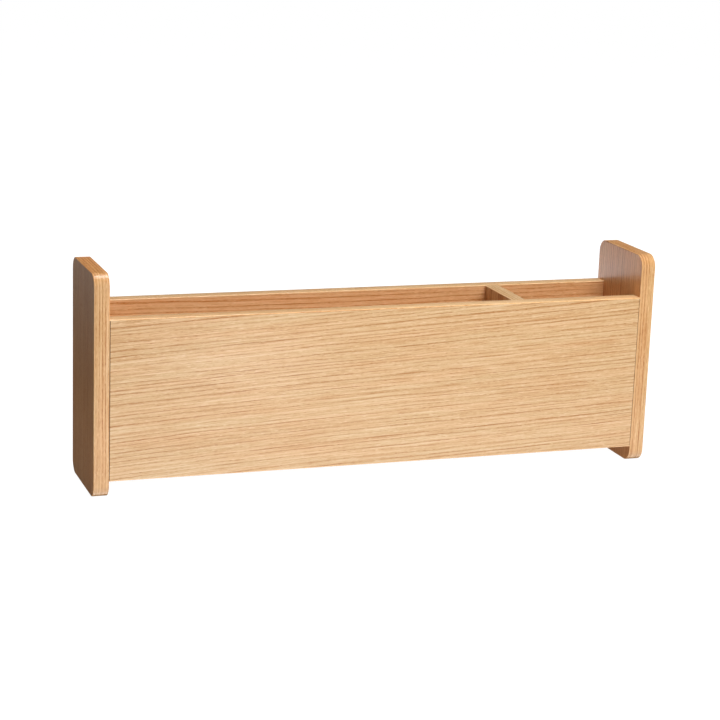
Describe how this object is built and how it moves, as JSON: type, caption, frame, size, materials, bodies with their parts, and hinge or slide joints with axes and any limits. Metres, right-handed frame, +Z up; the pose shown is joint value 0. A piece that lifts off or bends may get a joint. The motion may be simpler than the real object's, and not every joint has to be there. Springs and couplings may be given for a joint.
{
  "type": "letter tray",
  "caption": "Long, narrow open letter tray of oak-veneered boards with tall round-cornered ends, a raised floor and a fixed divider that parts off a small compartment.",
  "frame": {"origin": "on the surface that the tray stands on, midway between the outer faces of the two ends and midway between the front and back faces", "axes": "+X along the tray towards the end next to the small compartment, +Y from the front face to the back face, +Z up"},
  "size_m": [0.58, 0.1, 0.218],
  "materials": {
    "oak_veneer": "clear satin-lacquered oak veneer, fine open grain",
    "oak_edge_band": "clear satin-lacquered oak edge banding, grain along the edge",
    "board_core": "raw fibreboard",
    "beech_dowel": "raw beech"
  },
  "bodies": {
    "root": {"left_end_core": "board_core", "left_end_outer_veneer": "oak_veneer", "left_end_inner_veneer": "oak_veneer", "left_end_edge_band": "oak_edge_band", "right_end_core": "board_core", "right_end_outer_veneer": "oak_veneer", "right_end_inner_veneer": "oak_veneer", "right_end_edge_band": "oak_edge_band", "front_panel_core": "board_core", "front_panel_outer_veneer": "oak_veneer", "front_panel_inner_veneer": "oak_veneer", "front_panel_top_band": "oak_edge_band", "front_panel_bottom_band": "oak_edge_band", "back_panel_core": "board_core", "back_panel_outer_veneer": "oak_veneer", "back_panel_inner_veneer": "oak_veneer", "back_panel_top_band": "oak_edge_band", "back_panel_bottom_band": "oak_edge_band", "floor_core": "board_core", "floor_top_veneer": "oak_veneer", "floor_bottom_veneer": "oak_veneer", "divider_core": "board_core", "divider_left_veneer": "oak_veneer", "divider_right_veneer": "oak_veneer", "divider_top_band": "oak_edge_band", "left_front_dowels": "beech_dowel", "left_back_dowels": "beech_dowel", "right_front_dowels": "beech_dowel", "right_back_dowels": "beech_dowel", "left_floor_dowels": "beech_dowel", "right_floor_dowels": "beech_dowel", "front_floor_dowels": "beech_dowel", "back_floor_dowels": "beech_dowel", "divider_front_dowels": "beech_dowel", "divider_back_dowels": "beech_dowel"}
  },
  "joints": []
}
